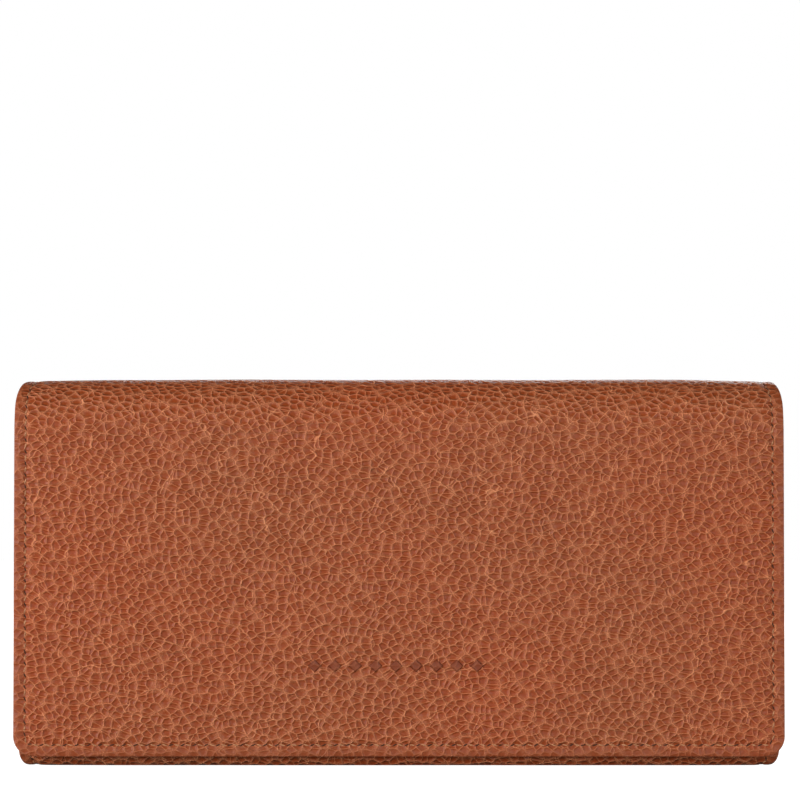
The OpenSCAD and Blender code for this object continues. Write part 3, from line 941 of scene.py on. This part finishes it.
def addPanel(name, node, facing, body, face, rim, seams, slot="smooth_leather", **given):
    sheet = panelSheet(node, facing, **given)
    settle(buildSheet(name, sheet, looks[face], looks[rim]), [body], [node])
    if seams:
        stitchSeam(name, sheet, seams(sheet), panelSeam, slot, [body])


def slotSeams(sheet, row):
    # down both sides of a card slot, as far as the next slot leaves it in sight
    total = lengthOf(sheet["path"])
    shown = min(total, panelLook["shown"]) if row < 4 else total - 1 * mm
    inner = (sheet["half"] - panelLook["sideSeam"]) * (1 if sheet["middleX"] < 0 else -1)
    return [[(x, 0.6 * mm), (x, shown)] for x in (inner, -inner)]


def pocketSeams(sheet, mouth):
    # along the mouth, then down both sides
    reach = sheet["half"] - panelLook["sideSeam"]
    across = mouth if mouth > 0 else lengthOf(sheet["path"]) + mouth
    return [lineAcross(sheet, across, 9 * mm)] + [lineDown(sheet, x, 1.5 * mm) for x in (-reach, reach)]


panelLook = inMm(shown=7.5, sideSeam=1.9, mouthSeam=2.2)
for side, column in (("left", -1), ("right", 1)):
    for row in (1, 2, 3, 4):
        addPanel(
            "cardSlot%s%d" % (side.capitalize(), row), "card_slot_%s_%d" % (side, row), -1, "back",
            "slot", "slotEdge", lambda sheet: slotSeams(sheet, row), wave=0.05 * mm,
            uvStart=0.11 * row + 0.5 * column,
        )
slotLow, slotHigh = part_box("card_slot_right_4")[0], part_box("card_slot_right_1")[0]
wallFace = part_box("back_lining")[0].y
binding = inMm(outer=1.9, inner=3.2, bevel=0.3)
for name, side in (("slotBindingLeft", -1), ("slotBindingRight", 1)):
    bm = bmesh.new()
    x1, x2 = sorted(side * (backHigh.x - binding[end]) for end in ("inner", "outer"))
    blockMesh(
        bm, (x1, slotLow.y + 0.4 * mm, slotLow.z + 0.2 * mm),
        (x2, wallFace + 0.1 * mm, slotHigh.z + 1 * mm), binding["bevel"], 2,
    )
    bm.loops.layers.uv.new("pattern")
    settle(finishMesh(bm, name, [looks["slotEdge"]]), ["back"])
addPanel("slipWall", "slip_pocket_wall", -1, "back", "lining", "slotEdge", None, uvStart=1.3)
for name, node, facing, uvStart in (
    ("pocketFront", "pocket_front_wall", -1, 1.7), ("pocketRear", "pocket_rear_wall", 1, 2.1),
):
    addPanel(
        name, node, facing, "pocket", "slot", "slotEdge",
        lambda sheet: pocketSeams(sheet, -facing * panelLook["mouthSeam"]), uvStart=uvStart,
    )
print("panels ready")


gusset = inMm(thickness=0.6, hair=0.03, wall=1.1, bendFrom=0.5, bendZ=40, low=1)
pleatFields = inMm(
    bevel=0.16, corner=0.8, bandStep=0.6, bandWidth=3, step=2, arcStep=0.5, wave=0.12, edgeRoll=0.05,
)


def pleat(name, yFrom, yTo, foldX, zLow, zHigh, mirror):
    # a strip that runs in along one wall, turns at the fold and runs back out along the other
    yFrom, yTo, wallX = yFrom - gusset["hair"], yTo + gusset["hair"], backHigh.x - gusset["wall"]
    radius = (yFrom - yTo) / 2
    straight = wallX - foldX - radius
    path = {
        "start": (wallX, yFrom), "heading": math.pi,
        "legs": [(straight, 0), (math.pi * radius, math.pi), (straight, 0)],
    }
    sheet = leatherSheet(
        path, (zHigh - zLow) / 2, gusset["thickness"], plan=True, mirror=mirror,
        middleZ=(zLow + zHigh) / 2, uvStart=yFrom * 40, **pleatFields,
    )
    return buildSheet(name, sheet, looks["lining"], looks["slotEdge"])


rearLow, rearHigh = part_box("rear_gusset_right_back_leaf")
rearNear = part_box("rear_gusset_right_pocket_leaf")[0]
frontNear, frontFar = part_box("front_gusset_right_front_leaf")
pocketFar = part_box("front_gusset_right_pocket_leaf")[1]
for side, mirror in (("left", True), ("right", False)):
    wallLow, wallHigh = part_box("pocket_side_" + side)
    for kind, bodies, yFrom, yTo, foldX, zLow, zHigh, nodes in (
        (
            "rearGusset", ("back", "pocket"), rearHigh.y, rearNear.y, rearLow.x, rearLow.z, rearHigh.z,
            ("rear_gusset_%s_back_leaf", "rear_gusset_%s_pocket_leaf"),
        ),
        (
            "frontGusset", ("pocket", "front"), pocketFar.y, frontNear.y, frontNear.x, frontNear.z,
            frontFar.z, ("front_gusset_%s_front_leaf", "front_gusset_%s_pocket_leaf"),
        ),
        (
            "pocketSide", ("pocket",), wallHigh.y, wallLow.y, abs(wallHigh.x if mirror else wallLow.x),
            wallLow.z, wallHigh.z - gusset["low"], ("pocket_side_%s",),
        ),
    ):
        fold = None
        if len(bodies) == 2:
            start, end = yFrom - gusset["bendFrom"], yTo + gusset["bendFrom"]
            fold = {"start": (0, start, gusset["bendZ"]), "end": (0, end, gusset["bendZ"])}
        piece = pleat(kind + side.capitalize(), yFrom, yTo, foldX, zLow, zHigh, mirror)
        settle(piece, bodies, [node % side for node in nodes], fold)
print("pleats ready")


zipLook = inMm(pitch=2, tooth=0.92, gap=0.18, first=0.5, root=0.8, stop=1.5)
zipLook["rootWider"] = 1.15
teethLow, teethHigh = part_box("zip_teeth_front")
rearTeethLow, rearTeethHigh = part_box("zip_teeth_rear")
chainY = (teethLow.y + rearTeethHigh.y) / 2
for name, node, facing in (("zipTapeFront", "zip_tape_front", -1), ("zipTapeRear", "zip_tape_rear", 1)):
    addPanel(
        name, node, facing, "pocket", "tape", "tape", None, "zip_tape",
        bandWidth=1.2 * mm, step=4 * mm, bevel=0.12 * mm, seam=0.4 * mm, seamDepth=0.05 * mm, edgeRoll=0,
    )


for name, node, rootY, tipY, box in (
    ("zipTeethFront", "zip_teeth_front", teethLow.y, chainY - zipLook["gap"], (teethLow, teethHigh)),
    (
        "zipTeethRear", "zip_teeth_rear", rearTeethHigh.y, chainY + zipLook["gap"],
        (rearTeethLow, rearTeethHigh),
    ),
):
    low, high = box
    wide = zipLook["tooth"] / 2
    blocks = [
        (wide, sorted((rootY, tipY)), 0.1 * mm, 0.16 * mm),
        (
            wide * zipLook["rootWider"],
            sorted((rootY, rootY + math.copysign(zipLook["root"], tipY - rootY))), 0, 0.2 * mm,
        ),
    ]

    def oneTooth(bm):
        for reach, (y1, y2), inset, soft in blocks:
            blockMesh(bm, (-reach, y1, low.z + inset), (reach, y2, high.z - inset), soft)

    tooth = shapeOf(oneTooth)
    bm = bmesh.new()
    for i in range(round((high.x - low.x) / zipLook["pitch"])):
        stamp(bm, tooth, Matrix.Translation((low.x + zipLook["first"] + i * zipLook["pitch"], 0, 0)))
    settle(finishMesh(bm, name, [looks["brass"]]), ["pocket"], [node])
for name, node in (("zipTopStops", "zip_top_stops"), ("zipBottomStop", "zip_bottom_stop")):
    low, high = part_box(node)
    bm = bmesh.new()
    if node == "zip_top_stops":
        blockMesh(bm, low, (high.x, low.y + zipLook["stop"], high.z), 0.25 * mm, 2)
        blockMesh(bm, (low.x, high.y - zipLook["stop"], low.z), high, 0.25 * mm, 2)
    else:
        blockMesh(bm, low, high, 0.3 * mm, 2)
    settle(finishMesh(bm, name, [looks["brass"]]), ["pocket"], [node])

sliderLow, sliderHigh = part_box("zip_slider_body")
sliderLook = inMm(
    plate=0.75, bevel=0.18, webHalf=0.15, webFrom=2.6, webTo=1, webSoft=0.05, sunk=0.2, lipIn=0.55,
    lip=0.45, lipDeep=1.05, lipFrom=0.5, lipTo=3.4, lipSoft=0.12, wire=0.42, wireWide=0.85,
    archReach=1.65, archOver=0.15, rise=1.5,
)
sliderLook.update(narrow=0.72, shortest=0.35, notch=0.14, below=0.96)
sliderX = (sliderLow.x + sliderHigh.x) / 2
sliderTop = sliderHigh.z - sliderLook["rise"] - sliderLook["wire"]
sliderHalfY = (sliderHigh.y - sliderLow.y) / 2


def sliderPlate(bm, low, high, wider):
    # a shield-shaped plate: wide shoulders ahead and a narrow tail; the lips at both sides are added after
    # it
    made = bmesh.ops.create_grid(bm, x_segments=14, y_segments=8, size=1)["verts"]
    everything = made + thickened(bm, list({face for vert in made for face in vert.link_faces}), 1)
    lengthX = (sliderHigh.x - sliderLow.x) / 2
    shortest = sliderLook["shortest"]
    for vert in everything:
        u, v, w = vert.co
        shoulder = sliderLook["narrow"] + (1 - sliderLook["narrow"]) * smooth(u, -0.6, 0.5)
        ends = math.sqrt(max(0.0, 1 - abs(u) ** 5))
        reach = sliderHalfY * wider * shoulder * (shortest + (1 - shortest) * ends)
        notch = sliderLook["notch"] * max(0, 1 - (v / 0.55) ** 2) * smooth(u, 0.4, 1)
        vert.co = (sliderX + lengthX * (u - notch), chainY + v * reach, low + (high - low) * w)
    edges = [
        edge for vert in everything for edge in vert.link_edges
        if len(edge.link_faces) == 2 and edge.calc_face_angle(0) > 0.8
    ]
    softened(bm, list(set(edges)), sliderLook["bevel"])


bm = bmesh.new()
sliderPlate(bm, sliderTop - sliderLook["plate"], sliderTop, 1.0)
sliderPlate(bm, sliderLow.z, sliderLow.z + sliderLook["plate"], sliderLook["below"])
upper, lower = sliderTop - sliderLook["sunk"], sliderLow.z + sliderLook["sunk"]
blockMesh(
    bm, (sliderHigh.x - sliderLook["webFrom"], chainY - sliderLook["webHalf"], lower),
    (sliderHigh.x - sliderLook["webTo"], chainY + sliderLook["webHalf"], upper), sliderLook["webSoft"],
)
for way in (-1, 1):
    y = chainY + way * (sliderHalfY - sliderLook["lipIn"])
    y1, y2 = sorted((y, y + way * sliderLook["lip"]))
    for z1, z2 in (
        (sliderTop - sliderLook["lipDeep"], upper), (lower, sliderLow.z + sliderLook["lipDeep"]),
    ):
        start, end = (sliderX - sliderLook["lipFrom"], y1, z1), (sliderX + sliderLook["lipTo"], y2, z2)
        blockMesh(bm, start, end, sliderLook["lipSoft"])
# the arch the pull hangs on: a ring swept half round, then raised to its height
ringPlace = Matrix.Translation((sliderX + sliderLook["archReach"], chainY, upper))
ringSize = Matrix.Diagonal((sliderLook["wire"], sliderLook["wireWide"], 1, 1))
ring = bmesh.ops.create_circle(bm, segments=12, radius=1, matrix=ringPlace @ ringSize)["verts"]
ringEdges = list({edge for vert in ring for edge in vert.link_edges})
archBefore = set(bm.verts) - set(ring)
bmesh.ops.spin(
    bm, geom=ring + ringEdges, cent=(sliderX, chainY, upper), axis=(0, 1, 0),
    angle=-math.pi, steps=16, use_merge=False,
)
archHeight = sliderLook["archReach"] + sliderLook["wire"]
raised = (sliderHigh.z - sliderTop + sliderLook["archOver"]) / archHeight
for vert in bm.verts:
    if vert not in archBefore:
        vert.co.z = upper + (vert.co.z - upper) * raised
bmesh.ops.recalc_face_normals(bm, faces=bm.faces[:])
settle(finishMesh(bm, "zipSlider", [looks["brass"]]), ["zip_slider"], ["zip_slider_body"])

tabLow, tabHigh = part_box("zip_pull_tab")
pinZ = joints["pull_swing"]["pos_m"][2]
tabLook = inMm(
    thick=0.9, windowFrom=0.9, windowTo=3.0, holeAt=9.6, hole=0.95, waistFrom=3.4, waistTo=7, bevel=0.2,
)
tabLook.update(waist=0.86, steps=18)
# distances from the pin's far side towards the tab's rounded end, and places across it
plain = tabHigh.x - tabLow.x - tabLook["windowTo"]
columns = [0, tabLook["windowFrom"]] + [
    tabLook["windowTo"] + plain * i / tabLook["steps"] for i in range(tabLook["steps"] + 1)
]
rows = [-1, -0.67, -0.36, 0, 0.36, 0.67, 1]
halfY = (tabHigh.y - tabLow.y) / 2
bm = bmesh.new()
bmesh.ops.create_grid(bm, x_segments=len(columns) - 1, y_segments=len(rows) - 1, size=1)
for vert in bm.verts:
    column = round((vert.co.x + 1) / 2 * (len(columns) - 1))
    row = round((vert.co.y + 1) / 2 * (len(rows) - 1))
    out = columns[column]
    toEnd = columns[-1] - out
    wide = halfY
    if out > tabLook["windowTo"]:
        spread = smooth(out, tabLook["waistFrom"], tabLook["waistTo"])
        wide *= tabLook["waist"] + (1 - tabLook["waist"]) * spread
    if toEnd < halfY:
        wide = math.sqrt(max(0, halfY ** 2 - (halfY - toEnd) ** 2)) + 0.08 * mm
    vert.co = (tabHigh.x - out, chainY + rows[row] * wide, pinZ - tabLook["thick"] / 2)


def inWindow(face):
    middle = face.calc_center_median()
    out, beside = tabHigh.x - middle.x, middle.y - chainY
    if math.hypot(out - tabLook["holeAt"], beside) < tabLook["hole"]:
        return True
    return tabLook["windowFrom"] < out < tabLook["windowTo"] and abs(beside) < halfY * 0.66


bmesh.ops.delete(bm, geom=[face for face in bm.faces if inWindow(face)], context="FACES")
thickened(bm, bm.faces[:], tabLook["thick"])
bmesh.ops.recalc_face_normals(bm, faces=bm.faces[:])
sharp = [edge for edge in bm.edges if len(edge.link_faces) == 2 and edge.calc_face_angle(0) > 1]
softened(bm, sharp, tabLook["bevel"])
settle(finishMesh(bm, "zipPull", [looks["brass"]]), ["zip_pull"], ["zip_pull_tab"])
print("zip ready")


def turned(name, profile, at, body, node, closed):
    # a profile of (radius, y) turned round the snap's axis
    bm = bmesh.new()
    verts = [bm.verts.new((at[0] + radius, y, at[1])) for radius, y in profile]
    pairs = list(zip(verts, verts[1:])) + ([(verts[-1], verts[0])] if closed else [])
    edges = [bm.edges.new(pair) for pair in pairs]
    bmesh.ops.spin(
        bm, geom=verts + edges, cent=(at[0], 0, at[1]), axis=(0, 1, 0), angle=2 * math.pi, steps=40,
        use_merge=True,
    )
    bmesh.ops.remove_doubles(bm, verts=bm.verts[:], dist=0.002 * mm)
    bmesh.ops.recalc_face_normals(bm, faces=bm.faces[:])
    settle(finishMesh(bm, name, [looks["brass"]], 30), [body], [node])


socketLow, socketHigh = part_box("snap_socket")
studLow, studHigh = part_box("snap_stud")
capLow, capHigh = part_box("snap_stud_cap")
snapAt = ((socketLow.x + socketHigh.x) / 2, (socketLow.z + socketHigh.z) / 2)
socketR, studR = (socketHigh.x - socketLow.x) / 2, (studHigh.x - studLow.x) / 2
near, face = socketLow.y, socketHigh.y
turned("snapSocket", [
    (2.2 * mm, near), (socketR, near), (socketR, face - 0.6 * mm),
    (socketR - 0.3 * mm, face - 0.2 * mm), (socketR - 1 * mm, face - 0.05 * mm),
    (socketR - 1.5 * mm, face - 0.35 * mm), (3.5 * mm, face - 0.35 * mm),
    (3 * mm, face - 0.02 * mm), (2.5 * mm, face), (2.2 * mm, face - 0.2 * mm),
], snapAt, "flap", "snap_socket", True)
front, tip = frontLow.y, studLow.y
turned("snapStud", [
    (0, tip), (0.9 * mm, tip + 0.02 * mm), (1.5 * mm, tip + 0.18 * mm),
    (1.85 * mm, tip + 0.55 * mm), (1.85 * mm, tip + 0.85 * mm), (1.5 * mm, tip + 1.25 * mm),
    (1.5 * mm, front - 0.45 * mm), (2.3 * mm, front - 0.4 * mm), (studR - 0.7 * mm, front - 0.4 * mm),
    (studR - 0.1 * mm, front - 0.2 * mm), (studR, front + 0.02 * mm), (2 * mm, front + 0.05 * mm),
    (1.5 * mm, front + 0.1 * mm), (1.5 * mm, studHigh.y), (0, studHigh.y),
], snapAt, "front", "snap_stud", False)
turned("snapCap", [
    (0, capLow.y), (studR, capLow.y), (studR, capLow.y + 0.15 * mm),
    (studR - 0.5 * mm, capHigh.y - 0.1 * mm), (studR - 1.4 * mm, capHigh.y), (0, capHigh.y),
], snapAt, "front", "snap_stud_cap", False)
print("snap ready")


def paleFloor():
    # white to the camera, and only a little light from below on the wallet
    material, tree, shader = newMaterial("paleFloor", 0.9, 0.1)
    shader.inputs["Base Color"].default_value = (0.13, 0.13, 0.13, 1)
    shader.inputs["Emission Color"].default_value = (1, 1, 1, 1)
    seen = tree.nodes.new("ShaderNodeLightPath").outputs["Is Camera Ray"]
    feed(shader, "Emission Strength", rangeNode(tree, seen, 0.0, 1.0, 0.03, 1.05, "LINEAR"))
    return material


floorMesh = bmesh.new()
bmesh.ops.create_grid(floorMesh, x_segments=2, y_segments=2, size=6)
floor = finishMesh(floorMesh, "floor", [paleFloor()])


def softbox(name, place, size, power):
    lamp = bpy.data.lights.new(name, "AREA")
    lamp.shape = "RECTANGLE"
    lamp.size, lamp.size_y = size
    lamp.energy = power
    holder = bpy.data.objects.new(name, lamp)
    bpy.context.scene.collection.objects.link(holder)
    holder.location = place
    holder.rotation_mode = "QUATERNION"
    holder.rotation_quaternion = (lightAim - Vector(place)).to_track_quat("-Z", "Y")


lightAim = Vector((0, 0, 0.05))
softboxes = {
    "keyLeft": ((-1.0, -1.0, 0.28), (0.7, 0.5), 15.2),
    "keyRight": ((0.6, -1.3, 0.28), (0.7, 0.5), 9.8),
    "sideLeft": ((-1.5, -0.15, 0.35), (0.9, 0.7), 14),
    "sideRight": ((1.5, 0.05, 0.4), (0.9, 0.7), 9),
    "backFill": ((0.4, 1.6, 0.55), (1.2, 0.6), 17),
}
for name, values in softboxes.items():
    softbox(name, *values)

world = bpy.data.worlds.new("studioWhite")
bpy.context.scene.world = world
world.use_nodes = True
sky = world.node_tree
sky.nodes.clear()
coordinate = sky.nodes.new("ShaderNodeTexCoord")
parts = sky.nodes.new("ShaderNodeSeparateXYZ")
sky.links.new(coordinate.outputs["Generated"], parts.inputs[0])
height = rangeNode(sky, parts.outputs["Z"], 0.0, 0.34, 0.6, 0.03)  # bright low down, dark above
seen = sky.nodes.new("ShaderNodeLightPath").outputs["Is Camera Ray"]
strength = mathNode(sky, "MAXIMUM", height, seen)
glow = sky.nodes.new("ShaderNodeBackground")
glow.inputs["Color"].default_value = (1, 1, 1, 1)
sky.links.new(strength, glow.inputs["Strength"])
skyOut = sky.nodes.new("ShaderNodeOutputWorld")
sky.links.new(glow.outputs[0], skyOut.inputs[0])

view = {"distance": 0.9, "eye": 0.058, "aimZ": 0.0903, "aimX": 0.25 * mm, "width": 0.1974, "sensor": 36}
cameraData = bpy.data.cameras.new("camera")
camera = bpy.data.objects.new("camera", cameraData)
bpy.context.scene.collection.objects.link(camera)
aim = Vector((view["aimX"], flapLow.y, view["aimZ"]))
camera.location = (aim.x, aim.y - view["distance"], view["eye"])
camera.rotation_mode = "QUATERNION"
camera.rotation_quaternion = (aim - camera.location).to_track_quat("-Z", "Y")
cameraData.sensor_width = view["sensor"]
cameraData.lens = view["sensor"] * view["distance"] / view["width"]
cameraData.clip_start = 0.05
bpy.context.scene.camera = camera
bpy.context.scene.view_settings.view_transform = "Standard"
print("studio ready")

def nodeLook(name):
    if name == "pocket_bag":
        return looks["cloth"]
    if name.endswith("board"):
        return looks["board"]
    return looks["brass" if name.startswith(("zip", "snap")) else "lining"]


for name, node in frame["nodes"].items():
    node.data.materials.clear()
    node.data.materials.append(nodeLook(name))
